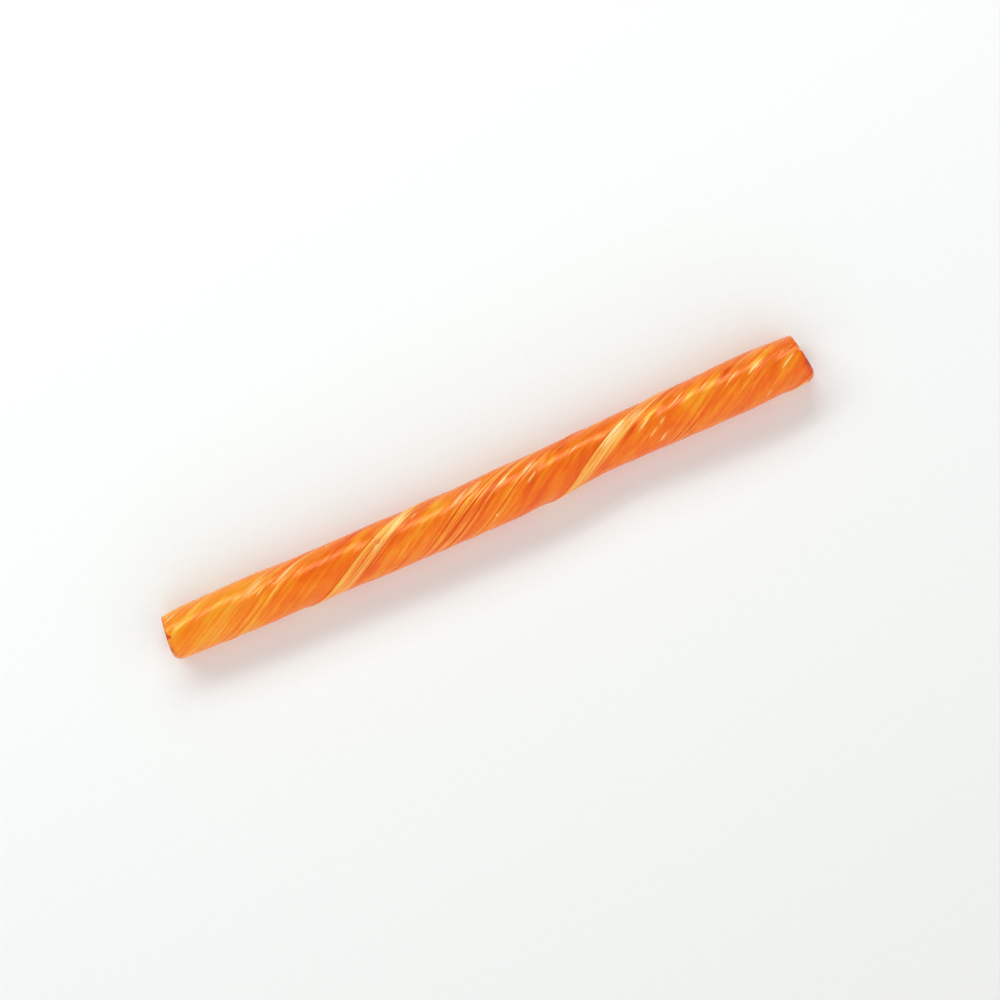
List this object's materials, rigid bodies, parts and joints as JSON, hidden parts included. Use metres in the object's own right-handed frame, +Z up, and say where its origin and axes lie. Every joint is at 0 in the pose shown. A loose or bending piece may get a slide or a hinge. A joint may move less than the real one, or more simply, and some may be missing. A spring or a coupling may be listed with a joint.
{
  "type": "candy stick",
  "caption": "Unwrapped hard candy stick of pulled, twisted orange sugar, lying on its side on a small flat spot.",
  "frame": {"origin": "under the middle of the stick, at the centre of its box's base, on the surface that it lies on", "axes": "+X along the stick, towards the end that is at the upper right in the picture; +Y across it; +Z up"},
  "size_m": [0.1286, 0.011, 0.0097],
  "materials": {
    "orange_sugar": "gloss"
  },
  "bodies": {
    "root": {"candy_stick": "orange_sugar"}
  },
  "joints": []
}
